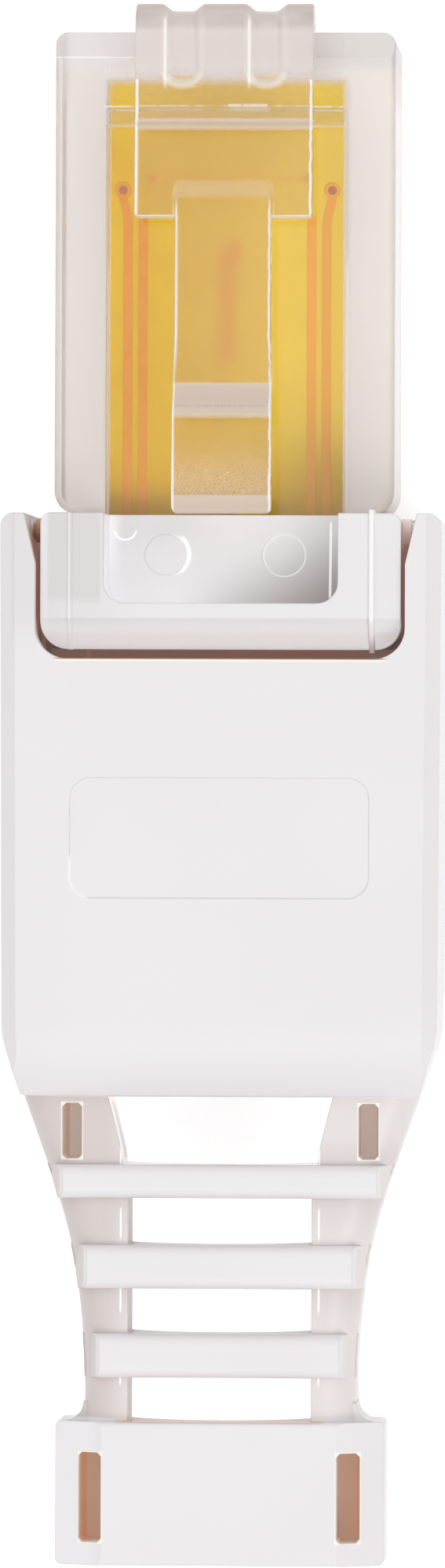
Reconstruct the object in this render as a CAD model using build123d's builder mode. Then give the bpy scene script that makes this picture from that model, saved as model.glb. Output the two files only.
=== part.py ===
from build123d import *
from math import atan2, cos, radians, sin
import os

# Millimetres. X is the width, Y runs towards the nose, Z is up.
# The origin lies on the resting face, mid-width, straight below the cover's hinge axis.
# Lengths named front, rear, start or place are measured from that axis unless said otherwise.

# Levels above the resting face
nose_bottom = 1.2
nose_height = 8.0
hinge_height = 9.2
collar_top = 11.9
cover_top = 12.3

# Clear nose shell
nose_width = 11.68
nose_side_wall = 1.76
nose_length = 16.57
nose_front_corner = 0.42
nose_rear_corner = 0.8
nose_side_round = 0.25
brow_length = 0.89
brow_drop = 0.22
shell_floor = 1.0
window_depth = 1.2
window_front_land = 2.6
window_slope = 0.54
spigot_length = 3.6
spigot_roof = 0.6
spigot_floor = 0.7

# Circuit board
board_thickness = 0.8
board_depth = 2.6
board_front_gap = 1.61
board_end_land = 0.375
board_side_gap = 0.1
board_top_gap = 0.2
board_end_gap = 0.07

# Contacts and their carrier
contact_count = 8
contact_thickness = 0.3
contact_crown = 2.05
contact_length = 5.0
contact_leg = 1.4
contact_round = 0.8
contact_recess = 0.35
contact_setback = 0.33
contact_gap = 0.03
contact_slot_gap = 0.06
carrier_side_gap = 0.03
carrier_front_gap = 0.08
carrier_rear_wall = 0.8

# Latch, measured rearwards from the centre of its arch
latch_side_gap = 1.03
latch_shoulder_width = 1.4
latch_rise_angle = 2.5
latch_arch_outer = 1.05
latch_arch_inner = 0.3
latch_arch_reach = 0.96
latch_arch_lift = 0.1
latch_arch_sweep = 136.0
latch_foot_sweep = 54.0
latch_plate_start = 3.05
latch_plate_ramp = 0.26
latch_plate_step = 0.25
latch_shoulder = 6.37
latch_neck_start = 5.25
latch_neck_step = 0.12
latch_riser_start = 12.08
latch_riser_length = 1.26
latch_riser_height = 0.6
latch_pad_end = 16.07
latch_end = 16.56
latch_end_drop = 0.3
latch_pad_thickness = 0.8
rib_groove_depth = 0.18
rib_groove_share = 0.23
rib_groove_spread = 0.47
rib_groove_length = 1.86
rib_groove_round = 0.6

# White base: foot, collar, finger pocket, hinge pins and trough
base_length = 16.5
base_foot_height = 3.0
base_foot_front = 0.5
base_corner = 0.6
base_edge = 0.3
base_floor = 1.4
base_side_wall = 1.4
base_rear_wall = 1.2
trough_wall_top = 8.2
ledge_width = 1.1
collar_overhang = 0.31
collar_side_wall = 0.95
cover_side_gap = 0.15
collar_front = 0.565
collar_rear = 4.09
collar_rear_corner = 0.9
collar_front_corner = 0.35
collar_rib_width = 0.17
collar_rib_place = 5.15
collar_rib_height = 0.12
collar_line_height = 0.015
collar_band = 1.06
collar_band_drop = 1.0
pocket_inset = 0.08
pocket_rear = 2.52
pocket_corner = 0.73
pocket_front_depth = 3.7
pocket_slope_rise = 0.9
mark_radius = 0.73
mark_depth = 0.03
mark_place = 2.02
mark_setback = 1.43
boss_diameter = 0.85
boss_length = 0.3
pin_diameter = 0.6
pin_length = 0.7
pin_gap = 0.03
pin_end_gap = 0.08
nub_height = 0.1
nub_length = 2.4
nub_depth = 0.8
nub_level = 5.2
nub_place = 11.0
spigot_gap = 0.03

# Terminals, their block and the wire manager
idc_end_land = 0.3
idc_width_share = 4 / 3
idc_thickness = 0.4
idc_tip_depth = 0.6
idc_slit = 0.3
idc_slit_share = 0.5
idc_mouth = 0.9
idc_mouth_depth = 0.35
idc_front_row = 6.6
idc_row_spacing = 3.8
idc_gap = 0.03
block_side_gap = 0.25
block_length = 8.0
block_front = 4.6
block_share = 0.4
manager_top_gap = 0.4
manager_inset = 0.1
manager_slot_gap = 0.12
wire_groove = 0.9
wire_groove_depth = 0.6

# Hinged cover
arm_thickness = 1.23
cover_overhang = 0.13
cover_taper = 0.1
arm_front = 0.55
arm_tip_round = 0.45
arm_flare = 0.4
arm_flare_length = 1.73
cover_front_edge = 4.41
cover_notch_corner = 1.05
cover_plate = 1.3
cover_rim = 0.5
cover_foot_gap = 0.2
cover_rear_gap = 0.2
cover_rear_wall = 1.2
cover_bevel_start = 16.9
cover_bevel_drop = 1.3
cover_rear = 19.35
cover_turn_start = 17.3
cover_turn = 0.62
cover_turn_round = 3.0
label_side = 2.43
label_front = 8.48
label_length = 4.11
label_corner = 0.73
label_depth = 0.03
press_rib_width = 0.8
press_rib_place = 2.1
press_rib_gap = 0.1

# Strain relief tail and its cable channel
cable_channel = 6.8
cable_roof = 1.05
tail_top_drop = 1.7
tail_height = 3.6
tail_edge_round = 1.1
tail_root_overlap = 0.4
tail_edge = ((5.90, 21.87), (5.20, 24.2), (4.80, 26.7), (4.66, 28.7), (4.68, 30.52))
rung_rise = 0.5
rung_bevel = 0.45
rung_side_drop = 0.8
rung_round = 0.4
rungs = ((21.72, 1.15, 10.74), (24.47, 1.50, 9.08), (27.50, 1.52, 8.20))
window_width = 6.28
first_window = ((3.85, 19.4), (3.67, 20.07), (3.53, 20.65), (3.37, 21.3), (3.34, 21.72))
end_block_front = 30.52
end_block_length = 4.92
end_block_width = 11.28
end_block_face = 8.06
end_block_side_drop = 1.1
end_block_skirt = 0.4
end_block_corner = 0.2
end_block_round = 0.18
end_flare = 0.65
end_flare_root = 0.6
end_flare_drop = 0.6
tail_slot_place = 4.73
tail_slot_width = 0.68
tail_slot_front = 19.62
tail_slot_length = 1.91
end_slot_place = 4.02
end_slot_width = 0.79
end_slot_front = 31.57
end_slot_length = 3.08
slot_floor = 1.0
slot_mouth = 0.9
slot_corner = 0.13

# Worked out from the sizes above
board_width = nose_width - 2 * nose_side_wall
contact_pitch = board_width / contact_count
carrier_width = board_width - 2 * carrier_side_gap
latch_width = board_width - 2 * latch_side_gap
latch_tongue_width = latch_width - 2 * latch_shoulder_width
rib_groove_width = latch_width * rib_groove_share
rib_groove_spacing = latch_width * rib_groove_spread
collar_width = nose_width + 2 * collar_overhang
spigot_width = collar_width - 2 * collar_side_wall
pocket_width = board_width - 2 * pocket_inset
cover_inside = collar_width + 2 * cover_side_gap
cover_front_width = cover_inside + 2 * arm_thickness
cover_rear_width = cover_front_width - 2 * cover_taper
cover_turn_width = cover_rear_width - 2 * cover_turn
base_width = cover_front_width - 2 * cover_overhang
trough_width = collar_width - 2 * base_side_wall
block_width = trough_width - 2 * block_side_gap
idc_pitch = (block_width - 2 * idc_end_land) / contact_count
idc_width = idc_pitch * idc_width_share
label_width = cover_front_width - 2 * label_side
nose_top = nose_bottom + nose_height
nose_front = collar_front + nose_length
cavity_floor = nose_bottom + shell_floor
board_top = nose_top - board_depth
board_bottom = board_top - board_thickness
board_front = nose_front - board_front_gap
board_rear = -(block_front + block_length + board_end_land)
cavity_top = board_top + board_top_gap
cavity_width = board_width + 2 * board_side_gap
contact_front = board_front - contact_setback
contact_rear = contact_front - contact_length
contact_bottom = nose_bottom + contact_recess
spigot_top = cavity_top + spigot_roof
spigot_bottom = cavity_floor - spigot_floor
spigot_rear = collar_front - spigot_length
trough_rear = base_rear_wall - base_length
pocket_floor = collar_top - pocket_front_depth
tail_top = cover_top - tail_top_drop
tail_bottom = tail_top - tail_height
rung_top = tail_top + rung_rise
channel_radius = cable_channel / 2
cable_axis = tail_top - cable_roof - channel_radius
cover_bottom = base_foot_height + cover_foot_gap
plate_bottom = cover_top - cover_plate
rear_wall_front = base_length + cover_rear_gap
rear_wall_rear = rear_wall_front + cover_rear_wall
tail_end = end_block_front + end_block_length
manager_top = plate_bottom - manager_top_gap
block_top = board_top + (manager_top - board_top) * block_share
idc_height = manager_top - idc_tip_depth - board_top
arch_y = nose_front + latch_arch_reach - latch_arch_outer
arch_z = nose_top + latch_arch_lift
far = 60.0

# The latch is drawn along its own slope, rearwards from the centre of its arch
latch_plane = Plane(
    origin=(0, arch_y, arch_z),
    x_dir=(0, -cos(radians(latch_rise_angle)), sin(radians(latch_rise_angle))),
    z_dir=(-1, 0, 0),
)


def spread(count, pitch):
    return [(number - (count - 1) / 2) * pitch for number in range(count)]


def box_between(x, y, z, mode=Mode.ADD):
    sizes = [abs(b - a) for a, b in (x, y, z)]
    centre = [(a + b) / 2 for a, b in (x, y, z)]
    with Locations(tuple(centre)):
        Box(*sizes, mode=mode)


def on_circle(radius, angle):
    return (radius * cos(radians(angle)), radius * sin(radians(angle)))


def arch_sector(outer, inner, start, sweep):
    with BuildLine(Plane.XY) as sector:
        CenterArc((0, 0), outer, start, sweep)
        Line(on_circle(outer, start + sweep), on_circle(inner, start + sweep))
        CenterArc((0, 0), inner, start, sweep)
        Line(on_circle(inner, start), on_circle(outer, start))
    make_face(sector.edges())


def contact_outline(gap):
    crown_top = contact_bottom + contact_crown + gap
    leg_front = contact_rear + contact_leg + gap
    Polygon(
        (contact_rear - gap, board_bottom),
        (contact_rear - gap, contact_bottom - gap),
        (contact_front + gap, contact_bottom - gap),
        (contact_front + gap, crown_top),
        (leg_front, crown_top),
        (leg_front, board_bottom),
    )


def collar_outline(grow):
    # Flat front and top, and a sloping band that lets the cover swing past
    top = collar_top + grow
    rear = -collar_rear - grow
    Polygon(
        (rear, base_edge),
        (collar_front + grow, base_edge),
        (collar_front + grow, top),
        (rear + collar_band, top),
        (rear, top - collar_band_drop),
    )


def terminal_places():
    across = spread(contact_count, idc_pitch)
    rows = [idc_front_row + (number % 2) * idc_row_spacing for number in range(contact_count)]
    return list(zip(across, rows))


def cut_terminal_slots(gap, bottom, top):
    for across, row in terminal_places():
        half_width = idc_width / 2 + gap
        half_depth = idc_thickness / 2 + gap
        box_between(
            (across - half_width, across + half_width),
            (-row - half_depth, -row + half_depth),
            (bottom, top),
            mode=Mode.SUBTRACT,
        )


def cut_cable_channel(front, rear, level):
    with BuildSketch(Plane.XZ.offset(front)) as section:
        with Locations((0, cable_axis)):
            Circle(channel_radius)
        with Locations((0, (cable_axis + level) / 2)):
            Rectangle(cable_channel, abs(cable_axis - level))
    extrude(section.sketch, amount=rear - front, mode=Mode.SUBTRACT)


def cut_tie_slots(place, width, front, length):
    # Each slot drops through the side of the tail and turns inwards to the cable
    floor = tail_bottom + slot_floor
    for side in (-1, 1):
        outer = side * (place + width)
        along = (-front, -front - length)
        with BuildSketch(Plane.XY.offset(floor)) as slot_plan:
            with Locations((side * (place + width / 2), -front - length / 2)):
                Rectangle(width, length)
            chamfer(slot_plan.vertices(), length=slot_corner)
        extrude(slot_plan.sketch, amount=far, mode=Mode.SUBTRACT)
        inner = side * channel_radius / 2
        box_between((inner, outer), along, (floor, floor + slot_mouth), mode=Mode.SUBTRACT)


# Clear nose shell with its stepped window, hollow from the back
with BuildPart() as plug_shell:
    with BuildSketch(Plane.XY.offset(nose_bottom)) as nose_plan:
        with Locations((0, collar_front + nose_length / 2)):
            Rectangle(nose_width, nose_length)
        fillet(nose_plan.vertices().group_by(Axis.Y)[-1], radius=nose_front_corner)
        fillet(nose_plan.vertices().group_by(Axis.Y)[0], radius=nose_rear_corner)
    extrude(amount=nose_height)
    fillet(plug_shell.edges().filter_by(Axis.Y), radius=nose_side_round)
    # Shallow brow along the front of the top
    with BuildSketch(Plane.YZ):
        Polygon(
            (nose_front - brow_length, nose_top),
            (nose_front, nose_top - brow_drop),
            (nose_front + 1, nose_top - brow_drop),
            (nose_front + 1, nose_top + 1),
            (nose_front - brow_length, nose_top + 1),
        )
    extrude(amount=nose_width, both=True, mode=Mode.SUBTRACT)
    # Window that the latch is pressed into
    window_front = nose_front - window_front_land
    window_floor = nose_top - window_depth
    with BuildSketch(Plane.YZ):
        Polygon(
            (collar_front - 1, window_floor),
            (window_front - window_slope, window_floor),
            (window_front, nose_top),
            (window_front, nose_top + 1),
            (collar_front - 1, nose_top + 1),
        )
    extrude(amount=board_width / 2, both=True, mode=Mode.SUBTRACT)
    # Spigot that is held in the collar
    box_between(
        (-spigot_width / 2, spigot_width / 2),
        (spigot_rear, collar_front + nose_rear_corner),
        (spigot_bottom, spigot_top),
    )
    # Cavity for the board and the contact carrier
    box_between(
        (-cavity_width / 2, cavity_width / 2),
        (spigot_rear, board_front + board_end_gap),
        (cavity_floor, cavity_top),
        mode=Mode.SUBTRACT,
    )
    # Slots that the contacts look out of
    slot_half = contact_thickness / 2 + contact_slot_gap
    for across in spread(contact_count, contact_pitch):
        box_between(
            (across - slot_half, across + slot_half),
            (contact_rear - contact_slot_gap, nose_front + 1),
            (nose_bottom - 1, cavity_floor),
            mode=Mode.SUBTRACT,
        )
    # Foot that the latch arch springs from
    with BuildSketch(latch_plane):
        arch_sector(latch_arch_outer, latch_arch_inner, 90 + latch_arch_sweep, latch_foot_sweep)
    extrude(amount=latch_width / 2, both=True)

# Springy latch: ribbed arch, shouldered plate, riser and finger pad
with BuildPart() as latch:
    plate_top = latch_arch_outer + latch_plate_step
    pad_top = plate_top + latch_riser_height
    pad_bottom = pad_top - latch_pad_thickness
    riser_end = latch_riser_start + latch_riser_length
    with BuildSketch(latch_plane):
        arch_sector(latch_arch_outer, latch_arch_inner, 90, latch_arch_sweep)
        Polygon(
            (0, latch_arch_outer),
            (latch_plate_start, latch_arch_outer),
            (latch_plate_start + latch_plate_ramp, plate_top),
            (latch_riser_start, plate_top),
            (riser_end, pad_top),
            (latch_pad_end, pad_top),
            (latch_end, pad_top - latch_end_drop),
            (latch_end, pad_bottom),
            (riser_end, pad_bottom),
            (latch_riser_start, latch_arch_inner),
            (0, latch_arch_inner),
        )
    extrude(amount=latch_width / 2, both=True)
    # Grooves between the three ribs of the arch, cut through and floored again
    with BuildSketch() as groove_plan:
        for side in (-1, 1):
            with Locations((side * rib_groove_spacing / 2, arch_y - rib_groove_length + far / 2)):
                Rectangle(rib_groove_width, far)
        fillet(groove_plan.vertices().group_by(Axis.Y)[0], radius=rib_groove_round)
    extrude(amount=far, mode=Mode.SUBTRACT)
    groove_floor = latch_arch_outer - rib_groove_depth
    with BuildSketch(latch_plane):
        arch_sector(groove_floor, latch_arch_inner, 90, latch_arch_sweep)
        with Locations((latch_plate_start / 2, (groove_floor + latch_arch_inner) / 2)):
            Rectangle(latch_plate_start, groove_floor - latch_arch_inner)
    extrude(amount=latch_width / 2, both=True)
    # Shoulders, where the plate narrows to the tongue
    for side in (-1, 1):
        box_between(
            (side * latch_tongue_width / 2, side * far),
            (-far, arch_y - latch_shoulder),
            (0, far),
            mode=Mode.SUBTRACT,
        )
    # Raised start of the tongue on the plate
    with BuildSketch(latch_plane):
        with Locations(((latch_neck_start + latch_riser_start) / 2, plate_top)):
            Rectangle(latch_riser_start - latch_neck_start, 2 * latch_neck_step)
    extrude(amount=latch_tongue_width / 2, both=True)

# Circuit board
with BuildPart() as circuit_board:
    box_between(
        (-board_width / 2, board_width / 2),
        (board_rear, board_front),
        (board_bottom, board_top),
    )

# Comb under the board that keeps the contacts apart
with BuildPart() as contact_carrier:
    box_between(
        (-carrier_width / 2, carrier_width / 2),
        (contact_rear - carrier_rear_wall, board_front - carrier_front_gap),
        (cavity_floor, board_bottom),
    )
    for across in spread(contact_count, contact_pitch):
        with BuildSketch(Plane.YZ.offset(across)):
            contact_outline(contact_gap)
        extrude(amount=contact_thickness / 2 + contact_gap, both=True, mode=Mode.SUBTRACT)

# Gold-plated contact blades, soldered under the board
contacts = []
for number, across in enumerate(spread(contact_count, contact_pitch), start=1):
    with BuildPart() as contact:
        with BuildSketch(Plane.YZ.offset(across)) as blade:
            contact_outline(0)
            lowest = blade.vertices().group_by(Axis.Y)[0]
            fillet(lowest, radius=contact_round)
        extrude(amount=contact_thickness / 2, both=True)
    contact.part.label = f"contact_{number}"
    contacts.append(contact.part)

# Upper part of the base: the collar that holds the nose shell
with BuildPart() as collar_block:
    with BuildSketch(Plane.YZ):
        collar_outline(0)
    extrude(amount=collar_width / 2, both=True)
    with BuildSketch() as collar_plan:
        with Locations((0, (collar_front - collar_rear) / 2)):
            Rectangle(collar_width, collar_front + collar_rear)
        fillet(collar_plan.vertices().group_by(Axis.Y)[0], radius=collar_rear_corner)
        fillet(collar_plan.vertices().group_by(Axis.Y)[-1], radius=collar_front_corner)
    extrude(amount=far, mode=Mode.INTERSECT)
    # Narrow raised line on one side and a faint one on the other
    for place, grow in ((collar_rib_place, collar_rib_height), (-collar_rib_place, collar_line_height)):
        with BuildSketch(Plane.YZ.offset(place)):
            collar_outline(grow)
        extrude(amount=collar_rib_width / 2, both=True)

# Finger pocket that clears the end of the pressed latch
with BuildPart() as pocket:
    with BuildSketch() as pocket_plan:
        with Locations((0, (far - pocket_rear) / 2)):
            Rectangle(pocket_width, far + pocket_rear)
        fillet(pocket_plan.vertices().group_by(Axis.Y)[0], radius=pocket_corner)
    extrude(amount=far)
    with BuildSketch(Plane.YZ):
        Polygon(
            (far, pocket_floor),
            (collar_front, pocket_floor),
            (-pocket_rear, pocket_floor + pocket_slope_rise),
            (-pocket_rear - 1, pocket_floor + pocket_slope_rise),
            (-pocket_rear - 1, far),
            (far, far),
        )
    extrude(amount=far, both=True, mode=Mode.INTERSECT)

# White base
with BuildPart() as base_housing:
    with BuildSketch() as foot_plan:
        with Locations((0, (base_foot_front - base_length) / 2)):
            Rectangle(base_width, base_foot_front + base_length)
        fillet(foot_plan.vertices(), radius=base_corner)
    extrude(amount=base_foot_height)
    chamfer(base_housing.faces().sort_by(Axis.Z)[0].edges(), length=base_edge)
    box_between(
        (-collar_width / 2, collar_width / 2),
        (-base_length, 0),
        (base_edge, trough_wall_top),
    )
    add(collar_block.part)
    add(pocket.part, mode=Mode.SUBTRACT)
    # The raised lines stop above the nose shell
    box_between((-far, far), (collar_front, far), (0, nose_top + spigot_gap), mode=Mode.SUBTRACT)
    # Round ejector marks on the sloping pocket floor
    pocket_slope = atan2(pocket_slope_rise, pocket_rear + collar_front)
    floor_plane = Plane(
        origin=(0, collar_front, pocket_floor),
        x_dir=(1, 0, 0),
        z_dir=(0, sin(pocket_slope), cos(pocket_slope)),
    )
    with BuildSketch(floor_plane):
        with Locations((-mark_place, -mark_setback), (mark_place, -mark_setback)):
            Circle(mark_radius)
    extrude(amount=-mark_depth, mode=Mode.SUBTRACT)
    # Tunnel for the nose shell's spigot, and the way through for the board
    box_between(
        (-spigot_width / 2 - spigot_gap, spigot_width / 2 + spigot_gap),
        (spigot_rear - spigot_gap, collar_front + 1),
        (spigot_bottom - spigot_gap, spigot_top + spigot_gap),
        mode=Mode.SUBTRACT,
    )
    box_between(
        (-cavity_width / 2, cavity_width / 2),
        (-collar_rear - 1, spigot_rear + 1),
        (board_bottom, cavity_top),
        mode=Mode.SUBTRACT,
    )
    # Trough with ledges that the board lies on
    box_between(
        (-trough_width / 2, trough_width / 2),
        (trough_rear, -collar_rear),
        (board_bottom, far),
        mode=Mode.SUBTRACT,
    )
    hollow_width = trough_width - 2 * ledge_width
    box_between(
        (-hollow_width / 2, hollow_width / 2),
        (trough_rear, spigot_rear),
        (base_floor, board_bottom),
        mode=Mode.SUBTRACT,
    )
    cut_cable_channel(-trough_rear - 1, base_length + 1, far)
    # Hinge pins with their shoulders, and the nubs that hold the cover shut
    for side in (-1, 1):
        with BuildSketch(Plane.YZ.offset(side * collar_width / 2)):
            with Locations((0, hinge_height)):
                Circle(boss_diameter / 2)
        extrude(amount=side * boss_length)
        with BuildSketch(Plane.YZ.offset(side * (collar_width / 2 + boss_length))):
            with Locations((0, hinge_height)):
                Circle(pin_diameter / 2)
        extrude(amount=side * pin_length)
        box_between(
            (side * (collar_width / 2 - nub_height), side * (collar_width / 2 + nub_height)),
            (-nub_place - nub_length / 2, -nub_place + nub_length / 2),
            (nub_level, nub_level + nub_depth),
        )

# Block on the board that holds the terminals upright
with BuildPart() as idc_block:
    box_between(
        (-block_width / 2, block_width / 2),
        (-block_front - block_length, -block_front),
        (board_top, block_top),
    )
    cut_terminal_slots(idc_gap, board_top - 1, block_top + 1)

# Forked terminals that cut into the wires
terminals = []
for number, (across, row) in enumerate(terminal_places(), start=1):
    tip = board_top + idc_height
    slit_end = tip - idc_height * idc_slit_share
    mouth_end = tip - idc_mouth_depth
    with BuildPart() as terminal:
        with BuildSketch(Plane.XZ.offset(row)):
            with Locations((across, board_top + idc_height / 2)):
                Rectangle(idc_width, idc_height)
            with BuildLine():
                Polyline(
                    (across - idc_slit / 2, slit_end),
                    (across - idc_slit / 2, mouth_end),
                    (across - idc_mouth / 2, tip),
                    (across + idc_mouth / 2, tip),
                    (across + idc_slit / 2, mouth_end),
                    (across + idc_slit / 2, slit_end),
                    close=True,
                )
            make_face(mode=Mode.SUBTRACT)
        extrude(amount=idc_thickness / 2, both=True)
    terminal.part.label = f"idc_terminal_{number}"
    terminals.append(terminal.part)

# Comb that the eight wires are laid in
with BuildPart() as wire_manager:
    box_between(
        (-block_width / 2 + manager_inset, block_width / 2 - manager_inset),
        (-block_front - block_length + manager_inset, -block_front - manager_inset),
        (block_top, manager_top),
    )
    cut_terminal_slots(manager_slot_gap, block_top - 1, manager_top + 1)
    groove_axis = manager_top - wire_groove_depth + wire_groove / 2
    with BuildSketch(Plane.XZ.offset(block_front)):
        for across in spread(contact_count, idc_pitch):
            with Locations((across, groove_axis)):
                Circle(wire_groove / 2)
    extrude(amount=block_length, mode=Mode.SUBTRACT)

# Outline of the tail in plan, narrowing to its waist
with BuildSketch(Plane.XY.offset(tail_bottom)) as tail_plan:
    tail_root = cover_rear - tail_root_overlap
    root_share = tail_root_overlap / (cover_rear - cover_turn_start)
    root_half_width = cover_turn_width / 2 + cover_turn * root_share
    right_edge = [(root_half_width, -tail_root)] + [(x, -y) for x, y in tail_edge]
    left_edge = [(-x, y) for x, y in right_edge]
    with BuildLine():
        Spline(*right_edge)
        Line(right_edge[-1], left_edge[-1])
        Spline(*left_edge)
        Line(left_edge[0], right_edge[0])
    make_face()

# Rungs of the tail, with bevelled ends, standing above its rails
with BuildPart() as rung_block:
    rung_side = tail_top - rung_side_drop
    for front, length, face in rungs:
        with BuildSketch(Plane.XZ.offset(front)):
            Polygon(
                (-far, tail_bottom + slot_floor),
                (-far, rung_side),
                (-face / 2 - rung_bevel, rung_side),
                (-face / 2, rung_top),
                (face / 2, rung_top),
                (face / 2 + rung_bevel, rung_side),
                (far, rung_side),
                (far, tail_bottom + slot_floor),
            )
        extrude(amount=length)
    fillet(rung_block.edges().filter_by(Axis.X).group_by(Axis.Z)[-1], radius=rung_round)
    extrude(tail_plan.sketch, amount=far, mode=Mode.INTERSECT)

# Tail of the cover: a curved channel over the cable, cut by windows between the rungs
with BuildPart() as tail_block:
    extrude(tail_plan.sketch, amount=tail_height)
    top_edges = tail_block.faces().sort_by(Axis.Z)[-1].edges()
    fillet(top_edges.filter_by(GeomType.BSPLINE), radius=tail_edge_round)
    with BuildSketch(Plane.XY.offset(tail_bottom - 1)):
        fronts = [front + length for front, length, face in rungs]
        rears = [front for front, length, face in rungs[1:]] + [end_block_front]
        for front, rear in zip(fronts, rears):
            with Locations((0, -(front + rear) / 2)):
                Rectangle(window_width, rear - front)
        right_side = [(x, -y) for x, y in first_window]
        left_side = [(-x, y) for x, y in right_side]
        with BuildLine():
            Spline(*right_side)
            Line(right_side[-1], left_side[-1])
            Spline(*left_side)
            Line(left_side[0], right_side[0])
        make_face()
    extrude(amount=far, mode=Mode.SUBTRACT)
    add(rung_block.part)

# End block of the tail, with sloping sides
with BuildPart() as end_block:
    with BuildSketch(Plane.XZ.offset(end_block_front)):
        Polygon(
            (-end_block_width / 2, tail_bottom - end_block_skirt),
            (-end_block_width / 2, rung_top - end_block_side_drop),
            (-end_block_face / 2, rung_top),
            (end_block_face / 2, rung_top),
            (end_block_width / 2, rung_top - end_block_side_drop),
            (end_block_width / 2, tail_bottom - end_block_skirt),
        )
    extrude(amount=end_block_length)
    fillet(end_block.edges().filter_by(Axis.Z), radius=end_block_corner)
    long_edges = end_block.edges().filter_by(Axis.X).group_by(Axis.Z)[-1]
    fillet(long_edges, radius=end_block_round)
    # Curved feet where the rails run out into the block
    for side in (-1, 1):
        waist = side * tail_edge[-1][0]
        with BuildSketch(Plane.XY.offset(tail_bottom)):
            middle = waist + side * (end_flare - end_flare_root) / 2
            with Locations((middle, -end_block_front + end_flare / 2)):
                Rectangle(end_flare + end_flare_root, end_flare)
            with Locations((waist + side * end_flare, -end_block_front + end_flare)):
                Circle(end_flare, mode=Mode.SUBTRACT)
        extrude(amount=tail_height - end_flare_drop)

# Hinged cover with its arms, label recess, tail and end block in one moulding
with BuildPart() as cover:
    with BuildSketch(Plane.XY.offset(cover_bottom)) as cover_plan:
        Polygon(
            (-cover_front_width / 2, arm_front),
            (cover_front_width / 2, arm_front),
            (cover_rear_width / 2, -cover_turn_start),
            (cover_turn_width / 2, -cover_rear),
            (-cover_turn_width / 2, -cover_rear),
            (-cover_rear_width / 2, -cover_turn_start),
        )
        bends = cover_plan.vertices().group_by(Axis.Y)[1]
        fillet(bends, radius=cover_turn_round)
    extrude(amount=cover_top - cover_bottom)
    rim = cover.faces().sort_by(Axis.Z)[-1].edges()
    chamfer(rim - rim.filter_by(Axis.X), length=cover_rim)
    fillet(cover.edges().filter_by(Axis.Z).group_by(Axis.Y)[-1], radius=arm_tip_round)
    # Rear face that rolls down to the tail, and the undercut below it
    with BuildSketch(Plane.YZ):
        with BuildLine():
            roll = TangentArc(
                (-cover_bevel_start, cover_top),
                (-cover_rear, cover_top - cover_bevel_drop),
                tangent=(-1, 0),
            )
            Polyline(
                roll @ 1,
                (-far, cover_top - cover_bevel_drop),
                (-far, far),
                (-cover_bevel_start, far),
                roll @ 0,
            )
        make_face()
        Polygon(
            (-rear_wall_rear, 0),
            (-rear_wall_rear, tail_bottom - (cover_rear - rear_wall_rear)),
            (-cover_rear, tail_bottom),
            (-far, tail_bottom),
            (-far, 0),
        )
    extrude(amount=far, both=True, mode=Mode.SUBTRACT)
    # Inside space over the trough, and the notch round the collar
    box_between(
        (-cover_inside / 2, cover_inside / 2),
        (-rear_wall_front, arm_front + 1),
        (0, plate_bottom),
        mode=Mode.SUBTRACT,
    )
    with BuildSketch() as notch:
        with Locations((0, (far - cover_front_edge) / 2)):
            Rectangle(cover_inside, far + cover_front_edge)
        fillet(notch.vertices().group_by(Axis.Y)[0], radius=cover_notch_corner)
    extrude(amount=far, mode=Mode.SUBTRACT)
    # The arms flare apart over the shoulders of the hinge pins
    flare_front = cover_inside / 2 + arm_flare
    with BuildSketch():
        Polygon(
            (-flare_front, arm_front),
            (-cover_inside / 2, arm_front - arm_flare_length),
            (cover_inside / 2, arm_front - arm_flare_length),
            (flare_front, arm_front),
        )
    extrude(amount=far, mode=Mode.SUBTRACT)
    add(tail_block.part)
    add(end_block.part)
    cut_cable_channel(rear_wall_front - 1, tail_end + 1, 0)
    cut_tie_slots(tail_slot_place, tail_slot_width, tail_slot_front, tail_slot_length)
    cut_tie_slots(end_slot_place, end_slot_width, end_slot_front, end_slot_length)
    # Blind holes for the hinge pins
    pin_tip = collar_width / 2 + boss_length + pin_length + pin_end_gap
    for side in (-1, 1):
        with BuildSketch(Plane.YZ.offset(side * collar_width / 2)):
            with Locations((0, hinge_height)):
                Circle(pin_diameter / 2 + pin_gap)
        extrude(amount=side * (pin_tip - collar_width / 2), mode=Mode.SUBTRACT)
    # Blank label recess
    with BuildSketch(Plane.XY.offset(cover_top)) as label:
        with Locations((0, -label_front - label_length / 2)):
            Rectangle(label_width, label_length)
        fillet(label.vertices(), radius=label_corner)
    extrude(amount=-label_depth, mode=Mode.SUBTRACT)
    # Ribs that press the wire manager down
    for side in (-1, 1):
        box_between(
            (
                side * press_rib_place - press_rib_width / 2,
                side * press_rib_place + press_rib_width / 2,
            ),
            (-block_front - block_length, -block_front - manager_inset),
            (manager_top + press_rib_gap, plate_bottom),
        )

named = {
    "plug_shell": plug_shell,
    "latch": latch,
    "circuit_board": circuit_board,
    "contact_carrier": contact_carrier,
    "base_housing": base_housing,
    "idc_block": idc_block,
    "wire_manager": wire_manager,
    "cover": cover,
}
for name, built in named.items():
    built.part.label = name

os.makedirs("parts", exist_ok=True)
for piece in [built.part for built in named.values()] + contacts + terminals:
    export_step(piece, f"parts/{piece.label}.step")
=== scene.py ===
import math

import bpy
import numpy as np
from mathutils import Matrix, Vector


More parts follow.
